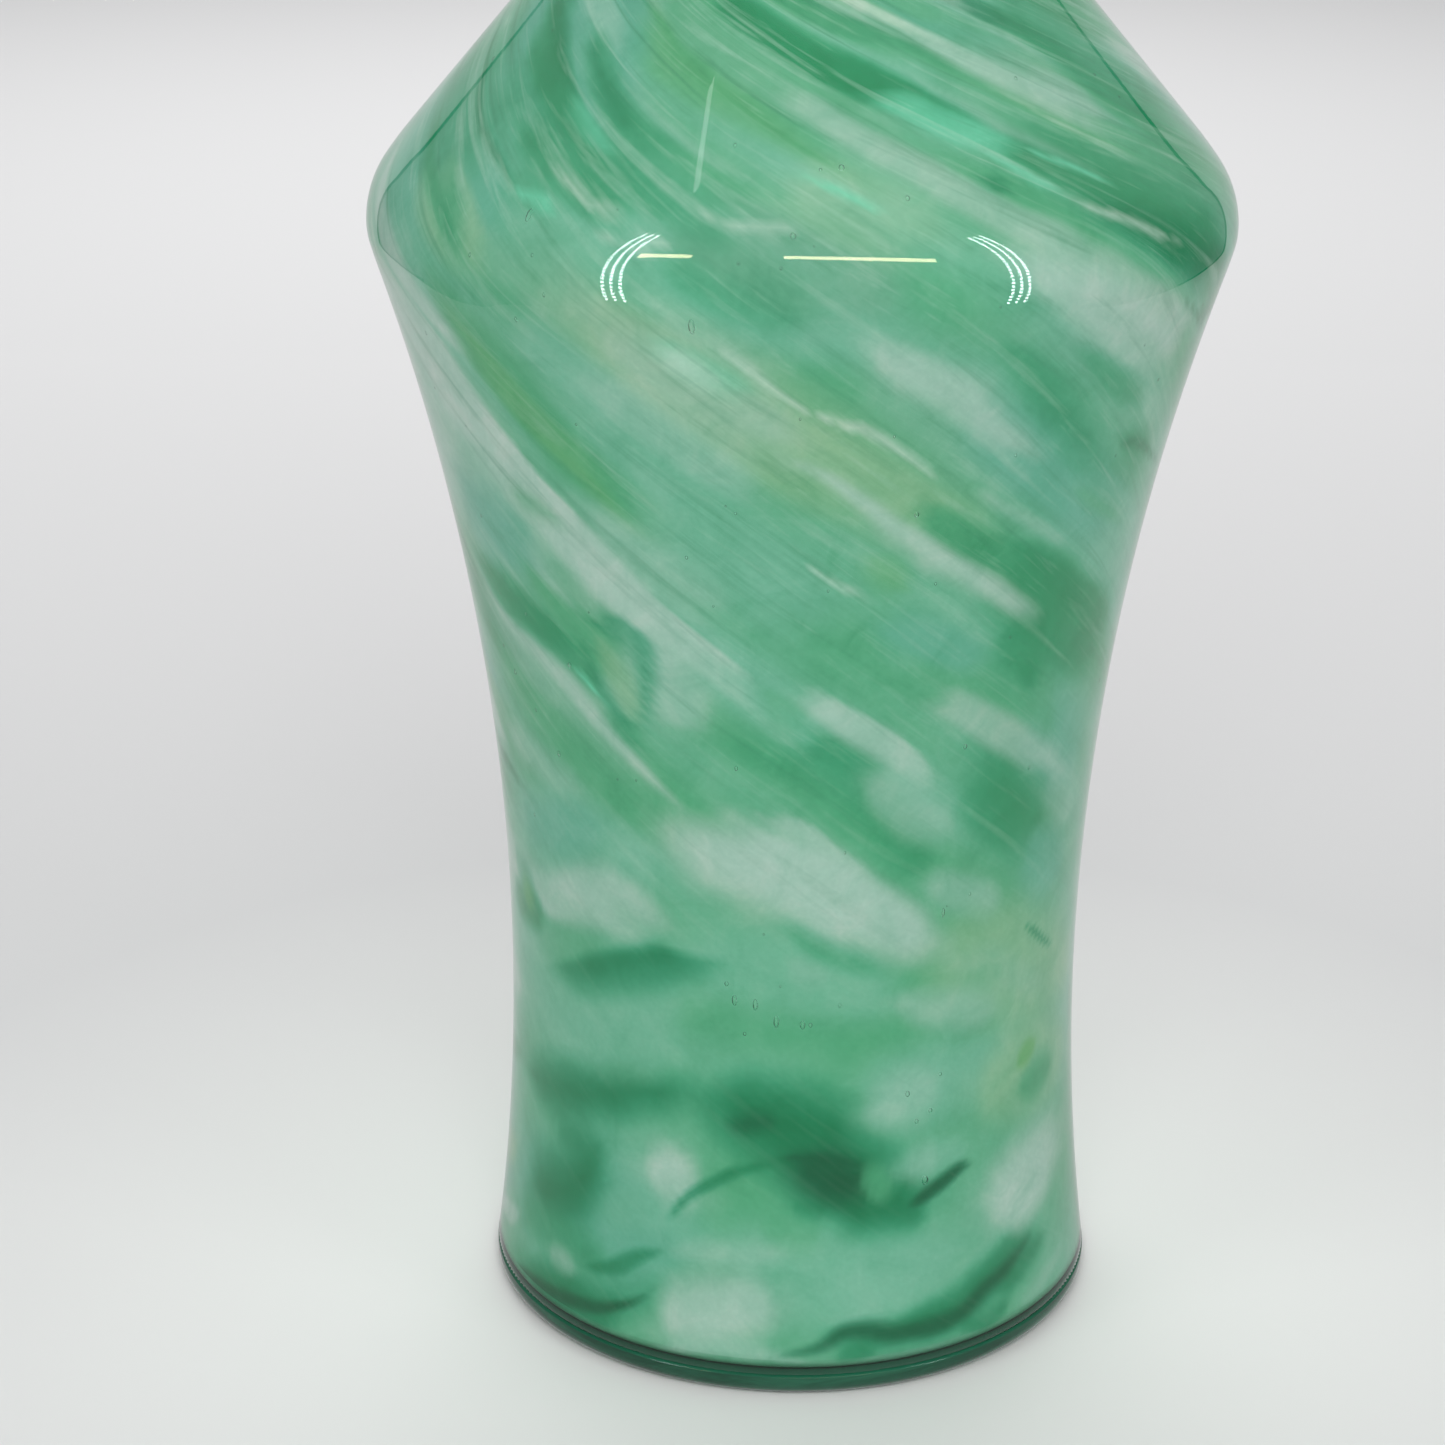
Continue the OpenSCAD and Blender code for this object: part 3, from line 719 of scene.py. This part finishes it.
def clear_glass():
    """Clear casing. Light for the colour behind it passes straight through, and the eye sees it bend."""
    nodes = Nodes("clear casing")
    at = nodes.position()
    tint = nodes.mix(nodes.noise(at, 60, 2), (0.955, 0.99, 0.972), (0.985, 1.0, 0.99))
    rough = nodes.span(nodes.noise(at, 90, 3), 0.66, 0.85, 0.0, 0.01)
    shader = nodes.principled({"Base Color": tint, "Roughness": rough}, Transmission_Weight=1.0, IOR=1.5)
    clear = nodes.add("BsdfTransparent").outputs[0]
    rays = nodes.add("LightPath").outputs
    for kind in ("Is Diffuse Ray", "Is Shadow Ray"):
        shader = nodes.add("MixShader", {0: rays[kind], 1: shader, 2: clear}).outputs[0]
    return nodes.surface(shader)


def swirl_glass():
    """The coloured layer: painted swirl, with fine drawn out lines and clouding."""
    nodes = Nodes("swirled colour")
    colour = nodes.painted("Swirl", "Color")
    along = nodes.painted("Along", "Vector")
    drawn = nodes.painted("Drawn", "Fac")
    at = nodes.position()
    lines = nodes.noise(along, 13, 4, 0.6, 0.5)
    fine = nodes.noise(along, 40, 3, 0.5, 0.4)
    cloud = nodes.noise(at, 110, 4, 0.6, 0.6)
    grain = nodes.noise(at, 900, 2)
    for value, ends, tint in (
        (lines, (0.54, 0.74, 0.0, 0.45), linear(168, 206, 186)),
        (lines, (0.46, 0.27, 0.0, 0.6), linear(52, 132, 96)),
        (fine, (0.6, 0.8, 0.0, 0.25), linear(170, 210, 188)),
    ):
        share = nodes.add("Math", {0: nodes.span(value, *ends), 1: drawn}, operation="MULTIPLY")
        colour = nodes.mix(share.outputs[0], colour, tint)
    for value, ends, tint in (
        (cloud, (0.5, 0.75, 0.0, 0.6), (1.5, 1.15, 1.25)),
        (cloud, (0.48, 0.25, 0.0, 0.6), (0.6, 0.82, 0.74)),
        (grain, (0.4, 0.9, 0.0, 0.5), (1.2, 1.15, 1.18)),
    ):
        colour = nodes.mix(nodes.span(value, *ends), colour, tint, "MULTIPLY")
    return nodes.surface(nodes.principled({"Base Color": colour}, Roughness=0.6, Specular_IOR_Level=0.0))


def opal_glass():
    """The opal lining that shows inside the mouth."""
    nodes = Nodes("opal lining")
    at = nodes.position()
    cloud = nodes.noise(at, 45, 4, 0.6, 1.2)
    wisps = nodes.noise(at, 120, 4, 0.6, 2.0)
    colour = nodes.mix(cloud, linear(196, 216, 204), linear(222, 232, 224))
    colour = nodes.mix(nodes.span(wisps, 0.55, 0.8, 0.0, 0.6), colour, linear(150, 196, 172))
    rough = nodes.span(wisps, 0.3, 0.8, 0.06, 0.12)
    return nodes.surface(nodes.principled({"Base Color": colour, "Roughness": rough}, IOR=1.5))


def foot_glass():
    """Thick green glass of the foot, so deep in colour that only its gloss and the streaks in it show."""
    nodes = Nodes("foot gather")
    at = nodes.position()
    drawn = hold(nodes.add("Mapping", {"Vector": at}), Scale=(1, 1, 14), Rotation=(0.05, 0.03, 0))
    streaks = nodes.noise(drawn.outputs[0], 22, 4, 0.6, 1.4)
    wisps = nodes.noise(drawn.outputs[0], 60, 3, 0.6, 1.0)
    height = nodes.add("SeparateXYZ", {0: at}).outputs["Z"]
    # Painted light: the foot's top face, hidden under the casing, is painted a lighter green as if lit
    # through the casing
    painted_light_top = nodes.span(height, FOOT_TOP * MM - 0.0002, FOOT_TOP * MM, 0.0, 0.7)
    colour = nodes.mix(nodes.span(streaks, 0.35, 0.65, 0.0, 1.0), (0.004, 0.05, 0.026), (0.014, 0.11, 0.06))
    colour = nodes.mix(nodes.span(wisps, 0.58, 0.75, 0.0, 0.6), colour, (0.02, 0.15, 0.08))
    colour = nodes.mix(painted_light_top, colour, (0.014, 0.12, 0.066))
    rough = nodes.span(wisps, 0.4, 0.8, 0.03, 0.1)
    return nodes.surface(nodes.principled({"Base Color": colour, "Roughness": rough}, IOR=1.5))


def glow(name, colour, strength, fade=None):
    """A glowing surface. A fade is an axis, two places on it, and the strength at the first of them."""
    nodes = Nodes(name)
    shader = hold(nodes.add("Emission"), Color=(*colour, 1), Strength=strength)
    if fade is not None:
        axis, low, high, faint = fade
        at = nodes.add("SeparateXYZ", {0: nodes.position()}).outputs[axis]
        nodes.tree.links.new(nodes.span(at, low, high, faint, strength), shader.inputs["Strength"])
    material = nodes.surface(shader.outputs[0])
    material.cycles.emission_sampling = "NONE"
    return material


# ---- the vase's pieces

COLUMNS = 296            # faces round the colour layer
CLEAR_COLUMNS = 256      # faces round the casing and the foot
LINING_COLUMNS = 192     # faces round the lining
LEFT_UPRIGHT = 75        # the colour layer's columns of faces are upright up to here, and then they twist
LIP_TUCK = 0.3           # how far in mm the clear lip's step reaches down over the layers' ends
LIP_STEP = 0.25          # and how deep that step is

# Bubbles in the casing: degrees round, mm up the wall, half length up and half width in mm
BUBBLES = (
    (27, 34.5, 0.9, 0.7), (23, 51.5, 0.6, 0.45), (25, 46, 0.5, 0.4), (28, 47.5, 0.5, 0.4),
    (30, 54, 0.4, 0.35), (2, 66, 0.9, 0.5), (3.5, 66, 0.45, 0.35), (9, 69.5, 0.4, 0.3),
    (-11, 70, 1.1, 0.5), (-7, 69.5, 1.1, 0.5), (-3, 66.5, 1.2, 0.55), (-12.5, 73, 0.5, 0.4),
    (-9, 64, 0.4, 0.3), (17, 159, 0.5, 0.45), (-37, 207, 1.2, 0.5), (-13, 192, 1.3, 0.6),
    (-1, 207, 0.6, 0.5), (5.5, 218.5, 0.6, 0.5), (14, 213, 0.5, 0.4), (30.5, 115, 0.5, 0.4),
    (29, 84.5, 0.9, 0.3), (-47, 109, 0.6, 0.35), (-41, 127, 0.5, 0.4), (-58, 121, 0.5, 0.4),
)
SEEDS = 170              # tiny bubbles strewn over the wall, most of them above the waist
BUBBLE_DEPTH = 0.35      # mm of clear glass over a bubble
BUBBLE_DEEP = 0.75       # most that a bubble measures from its middle inward, in mm
BALL_SIDES = 8
BALL_BANDS = 5


def ball():
    """Points and faces of a small ball, facing inward."""
    points = [(0, 0, -1)]
    for ring in range(1, BALL_BANDS):
        lift = math.radians(180 * ring / BALL_BANDS - 90)
        points += [(math.cos(lift) * math.cos(t), math.cos(lift) * math.sin(t), math.sin(lift))
                   for t in np.arange(BALL_SIDES) * 2 * math.pi / BALL_SIDES]
    points.append((0, 0, 1))
    top = len(points) - 1
    last_ring = top - BALL_SIDES
    faces = []
    for k in range(BALL_SIDES):
        n = (k + 1) % BALL_SIDES
        faces.append((0, 1 + k, 1 + n))
        for low in range(1, last_ring, BALL_SIDES):
            high = low + BALL_SIDES
            faces.append((low + k, high + k, high + n, low + n))
        faces.append((top, last_ring + n, last_ring + k))
    return np.array(points), faces


def bubbles():
    """Points and faces of every bubble in the casing."""
    rng = np.random.default_rng(9)
    places = [*BUBBLES]
    for _ in range(SEEDS):
        up = TOP * (0.2 + 0.75 * rng.uniform() ** 0.7)
        size = rng.uniform(0.12, 0.3)
        places.append((rng.uniform(-180, 180), up, size * rng.uniform(1, 1.8), size))
    shape, faces = ball()
    slope = np.gradient(OUTLINE, HEIGHT_UP, axis=0)
    upright = np.array([0, 0, 1.0])
    points, all_faces = [], []
    for degrees, up, tall, wide in places:
        turn = math.radians(degrees)
        radial = np.array([math.sin(turn), -math.cos(turn), 0])
        around = np.array([math.cos(turn), math.sin(turn), 0])
        rise = along_curve([up], HEIGHT_UP, slope)[0]
        rise /= np.hypot(*rise)
        outward = radial * rise[1] - upright * rise[0]
        along = radial * rise[0] + upright * rise[1]
        deep = min(wide, BUBBLE_DEEP)
        r = radius_at(up) - rise[1] * (BUBBLE_DEPTH + deep)
        z = height_at(up) + rise[0] * (BUBBLE_DEPTH + deep)
        middle = radial * r * (1 - UNEVEN / 2) + upright * z
        spot = (middle + shape[:, :1] * outward * deep + shape[:, 1:2] * around * wide
                + shape[:, 2:] * along * tall)
        all_faces += [tuple(i + len(points) for i in face) for face in faces]
        points += spot.tolist()
    return np.array(points) * MM, all_faces


def make_casing():
    outside = wall(0, spaced(up_at(CASING_BOTTOM), TOP, (1.6, 186), (0.5, 212), (1.6, TOP)))
    rim = arc(RIM, RIM_RADIUS, -MOUTH_FLARE, 180 - MOUTH_FLARE, 14)[1:-1]
    lip = wall(WALL, spaced(LAYERS_END, TOP, (1, TOP)))
    step = wall(WALL - LIP_STEP, [LAYERS_END - LIP_TUCK])
    inside, _ = cup(CASING_IN, CASING_FLOOR, LOWER_CORNER, LAYERS_END - LIP_TUCK, (5, LAYERS_END))
    base = level(0, outside[0, 0], 13, CASING_BOTTOM)
    section = np.vstack([base, outside, rim, lip[::-1], step, inside[::-1]])
    points, quads, triangles = revolve(section, even_turns(CLEAR_COLUMNS))
    extra, faces = bubbles()
    small = [[i + len(points) for i in face] for face in faces]
    quads = np.vstack([quads, [face for face in small if len(face) == 4]])
    triangles = np.vstack([triangles, [face for face in small if len(face) == 3]])
    solid = np.vstack([points, extra]), quads, triangles
    piece("clear_casing", solid, clear_glass(), ["clear_casing"])


def make_swirl():
    outside, up = cup(SWIRL_OUT, SWIRL_FLOOR, LOWER_CORNER, LAYERS_END,
                      (0.9, 75), (1.1, 110), (1.7, LAYERS_END))
    inside, up_in = cup(SWIRL_IN, SWIRL_FLOOR_IN, LOWER_CORNER - 1, LAYERS_END, (5, LAYERS_END))
    up = np.r_[up, up_in[::-1]]
    turn = even_turns(COLUMNS)[None, :] - twist(up[1:-1], LEFT_UPRIGHT)[:, None]
    solid = revolve(np.vstack([outside, inside[::-1]]), turn)
    thing = piece("swirled_colour", solid, swirl_glass(),
                  ["green_bands", "milky_bands", "dark_trails"])
    turn = np.r_[turn.ravel(), 0, 0]
    up = np.r_[np.repeat(up[1:-1], COLUMNS), up[0], up[-1]]
    follow = turn + twist(up)
    # Along runs with the twist, for the drawn out lines, and Drawn says how plainly they show
    for name, kind, key, values in (
        ("Swirl", "FLOAT_COLOR", "color", np.column_stack([swirl_colour(turn, up), np.ones(len(up))])),
        ("Along", "FLOAT_VECTOR", "vector", np.column_stack([np.cos(follow), np.sin(follow), up / 300])),
        ("Drawn", "FLOAT", "value", np.interp(up, (70, 120, 190, 240), (0.1, 0.45, 0.7, 1.0))),
    ):
        attribute = thing.data.attributes.new(name, kind, "POINT")
        attribute.data.foreach_set(key, values.astype(np.float32).ravel())


def make_lining():
    outside, _ = cup(LINING_OUT, LINING_FLOOR, LOWER_CORNER - 0.5, LAYERS_END, (3, LAYERS_END))
    inside, _ = cup(WALL, CAVITY_FLOOR, CAVITY_CORNER, LAYERS_END, (1.5, LAYERS_END))
    solid = revolve(np.vstack([outside, inside[::-1]]), even_turns(LINING_COLUMNS))
    piece("opal_lining", solid, opal_glass(), ["opal_lining"])


def make_foot():
    edge = resample(OUTLINE[OUTLINE[:, 1] < FOOT_TOP], 0.4)
    share = np.linspace(0, 1, 10)
    pontil = np.column_stack([PONTIL_RADIUS * share, PONTIL_DEPTH * np.cos(share * math.pi / 2)])
    ground = level(PONTIL_RADIUS, edge[0, 0], 9, 0.0)[1:]
    top = np.column_stack([np.linspace(edge[-1, 0], 0, 12), np.full(12, FOOT_TOP)])
    solid = revolve(np.vstack([pontil, ground, edge, top]), even_turns(CLEAR_COLUMNS))
    piece("foot_gather", solid, foot_glass(), ["foot_gather"])


make_casing()
make_swirl()
make_lining()
make_foot()


# ---- stage

def panel(name, corners, material, sides=4):
    """One or more flat faces on the stage, each with this many corners."""
    mesh = bpy.data.meshes.new(name)
    mesh.from_pydata([tuple(c) for c in corners], [],
                     [tuple(range(i, i + sides)) for i in range(0, len(corners), sides)])
    mesh.materials.append(material)
    thing = add_object(name, mesh)
    return thing


def reflected(name, corners, colour, strength, fade=None, sides=4):
    """A glowing panel that is seen in the glass's reflections and nowhere else."""
    thing = panel(name, corners, glow(name, colour, strength, fade), sides)
    for way in ("camera", "diffuse", "transmission", "shadow", "volume_scatter"):
        setattr(thing, "visible_" + way, False)


def table_with_painted_falloff():
    """A pale table, a little darker away from the vase: a painted pool of light that fades outward."""
    nodes = Nodes("table")
    at = nodes.position()
    away = nodes.add("VectorMath", {0: at}, operation="LENGTH").outputs["Value"]
    colour = nodes.mix(nodes.noise(at, 3, 3), (0.83, 0.83, 0.82), (0.85, 0.85, 0.84))
    # Painted shade: the colour darkens between 0.06 m and 0.2 m from the vase's axis, in place of light
    # falling off
    colour = nodes.mix(nodes.span(away, 0.06, 0.2, 0.0, 1.0), colour, (0.68, 0.68, 0.685))
    return nodes.surface(nodes.principled({"Base Color": colour}, Roughness=0.7, Specular_IOR_Level=0.1))


TABLE = 6.0              # half the table's width
ROOM_SIZE = 3.0          # half the room's width
SHEET = 0.62             # brightness of the white sheet and backdrop in reflections
ROOM = 0.26              # brightness of the room beyond them, up to 0.6 m above the table
CEILING = 0.75           # brightness that the room rises to at its ceiling
NEUTRAL = (1, 1, 1)
DAYLIGHT = (0.95, 1, 1)
LAMPLIGHT = (0.85, 0.97, 1.0)
WARM = (1.0, 0.88, 0.55)


def square(half):
    return [(-half, -half), (half, -half), (half, half), (-half, half)]


table = panel("table", [(*corner, 0) for corner in square(TABLE)], table_with_painted_falloff())
table.visible_glossy = False

# The white sheet's edges from the top of the backdrop down to the table and then towards the camera
LEFT_EDGE = ((-0.58, 0.7, 0.7), (-0.56, 0.7, 0.0), (-0.5, 0.42, 0.0), (-0.39, 0.2, 0.0),
             (-0.34, 0.0, 0.0), (-0.33, -0.42, 0.0))
RIGHT_EDGE = ((0.64, 0.7, 0.7), (0.57, 0.7, 0.0), (0.51, 0.42, 0.0), (0.42, 0.2, 0.0),
              (0.36, 0.0, 0.0), (0.33, -0.42, 0.0))
SEAM = 0.03              # width of the dark line along the sheet's edges
reflected("sheet", [*LEFT_EDGE[1:], *RIGHT_EDGE[:0:-1]], NEUTRAL, SHEET, ("Y", -0.3, 0.12, 0.3), sides=10)
reflected("backdrop", [*LEFT_EDGE[:2], *RIGHT_EDGE[1::-1]], (0.98, 1, 1), SHEET)
# Painted shadow: black strips along the sheet's edges, seen only in reflections, stand in for the shade of
# the sheet's folds
fold_shadow_strips = []
for edge, out in ((LEFT_EDGE[:4], -SEAM), (RIGHT_EDGE[:4], SEAM)):
    for (x0, y0, z0), (x1, y1, z1) in zip(edge, edge[1:]):
        fold_shadow_strips += [(x0, y0, z0), (x0 + out, y0, z0), (x1 + out, y1, z1), (x1, y1, z1)]
reflected("fold_shadow_strips", fold_shadow_strips, NEUTRAL, 0.0)

plan = square(ROOM_SIZE)
walls = [(*corner, z) for z in (-ROOM_SIZE, ROOM_SIZE) for corner in plan]
for a, b in zip(plan, plan[1:] + plan[:1]):
    walls += [(*a, -ROOM_SIZE), (*b, -ROOM_SIZE), (*b, ROOM_SIZE), (*a, ROOM_SIZE)]
reflected("room", walls, (0.97, 1, 1), CEILING, ("Z", 0.6, ROOM_SIZE, ROOM))


LAMP_ROWS = (-0.027, 0, 0.027)
LAMP_HALF = (0.005, 0.01)      # half a lamp's width and height
TUBE_AWAY = 1.6                # distance of the warm tubes from the vase's axis
TUBE_THICK = 0.14


def lamp_bar(name, foot, head, count):
    """A bar of small lamps in three rows."""
    foot, head = Vector(foot), Vector(head)
    aside = Vector((-foot.y, foot.x, 0)).normalized()
    across, lift = aside * LAMP_HALF[0], Vector((0, 0, LAMP_HALF[1]))
    corners = []
    for row in LAMP_ROWS:
        for k in range(count):
            middle = foot + (head - foot) * k / count + aside * row
            corners += [middle - across - lift, middle + across - lift,
                        middle + across + lift, middle - across + lift]
    reflected(name, corners, LAMPLIGHT, 30)


lamp_bar("lamps left", (-0.46, -0.46, 0.07), (-0.55, -0.46, 1.06), 29)
lamp_bar("lamps right", (0.54, -0.4, 0.05), (0.61, -0.4, 1.0), 28)

# A leaning strip of daylight high on the left, fainter on both sides
SKYLIGHT = ((-0.645, 1.9), (-0.675, 1.9), (-0.54, 1.56), (-0.51, 1.56))
for side, aside, strength in ((" left", -0.03, 1.0), ("", 0, 3.6), (" right", 0.03, 1.0)):
    reflected("skylight" + side, [(x + aside, -0.45, z) for x, z in SKYLIGHT], DAYLIGHT, strength)


def strip(name, start, end, low, high):
    """A warm lamp tube high up, between two azimuths in degrees and two heights."""
    corners = []
    for azimuth, height in ((start, low), (end, high), (end, high + TUBE_THICK), (start, low + TUBE_THICK)):
        turn = math.radians(azimuth)
        corners.append((math.sin(turn) * TUBE_AWAY, math.cos(turn) * TUBE_AWAY, height))
    reflected(name, corners, WARM, 17)


strip("tube long", 143, 185, 1.12, 1.46)
strip("tube short", 211, 225, 1.27, 1.08)


# ---- lights and camera

def soft_light(name, where, target, wide, tall, power):
    """An area light that faces a target and isn't seen itself."""
    light = bpy.data.lights.new(name, "AREA")
    light.shape = "RECTANGLE"
    light.size = wide
    light.size_y = tall
    light.energy = power
    thing = add_object(name, light)
    thing.location = where
    thing.rotation_euler = (Vector(target) - Vector(where)).to_track_quat("-Z", "Y").to_euler()
    thing.visible_glossy = False
    thing.visible_transmission = False
    thing.visible_camera = False


soft_light("soft left", (-0.8, -0.6, 0.5), (0, 0, 0.12), 0.35, 0.6, 1.5)
soft_light("soft right", (0.8, -0.6, 0.5), (0, 0, 0.12), 0.35, 0.6, 1.5)
soft_light("soft front", (0, -0.8, 0.68), (0, -0.1, 0.05), 0.5, 0.5, 2.7)
soft_light("soft ahead", (0.3, -1.5, 1.3), (0.3, -1.5, 0), 1.2, 1.2, 8.0)
soft_light("soft behind", (-0.1, 1.15, 1.1), (-0.1, 1.15, 0), 1.2, 1.3, 13.0)

# The pale room lights the vase a little less than its own brightness would
ROOM_SEEN = 0.6
ROOM_LIGHT = 0.42
world = bpy.data.worlds.new("pale room")
world.use_nodes = True
tree = world.node_tree
seen = hold(tree.nodes.new("ShaderNodeBackground"), Color=(1, 1, 1, 1), Strength=ROOM_SEEN)
light = hold(tree.nodes["Background"], Color=(1, 1, 1, 1), Strength=ROOM_LIGHT)
choice = tree.nodes.new("ShaderNodeMixShader")
tree.links.new(tree.nodes.new("ShaderNodeLightPath").outputs["Is Diffuse Ray"], choice.inputs[0])
tree.links.new(seen.outputs[0], choice.inputs[1])
tree.links.new(light.outputs[0], choice.inputs[2])
tree.links.new(choice.outputs[0], tree.nodes["World Output"].inputs["Surface"])
bpy.context.scene.world = world
bpy.context.scene.view_settings.view_transform = "Standard"

# Solved from the vase's outline in the photo: place in metres, and turns in degrees
CAMERA_AT = (0, -0.5533, 0.3068)
CAMERA_ASIDE = 1.35
CAMERA_DOWN = 20.06
CAMERA_ROLL = 0.2
lens = bpy.data.cameras.new("camera")
lens.lens = 82.2
lens.sensor_width = 36
camera = add_object("camera", lens)
camera.matrix_world = (Matrix.Translation(CAMERA_AT) @ Matrix.Rotation(math.radians(CAMERA_ASIDE), 4, "Z")
                       @ Matrix.Rotation(math.radians(90 - CAMERA_DOWN), 4, "X")
                       @ Matrix.Rotation(math.radians(CAMERA_ROLL), 4, "Z"))
bpy.context.scene.camera = camera
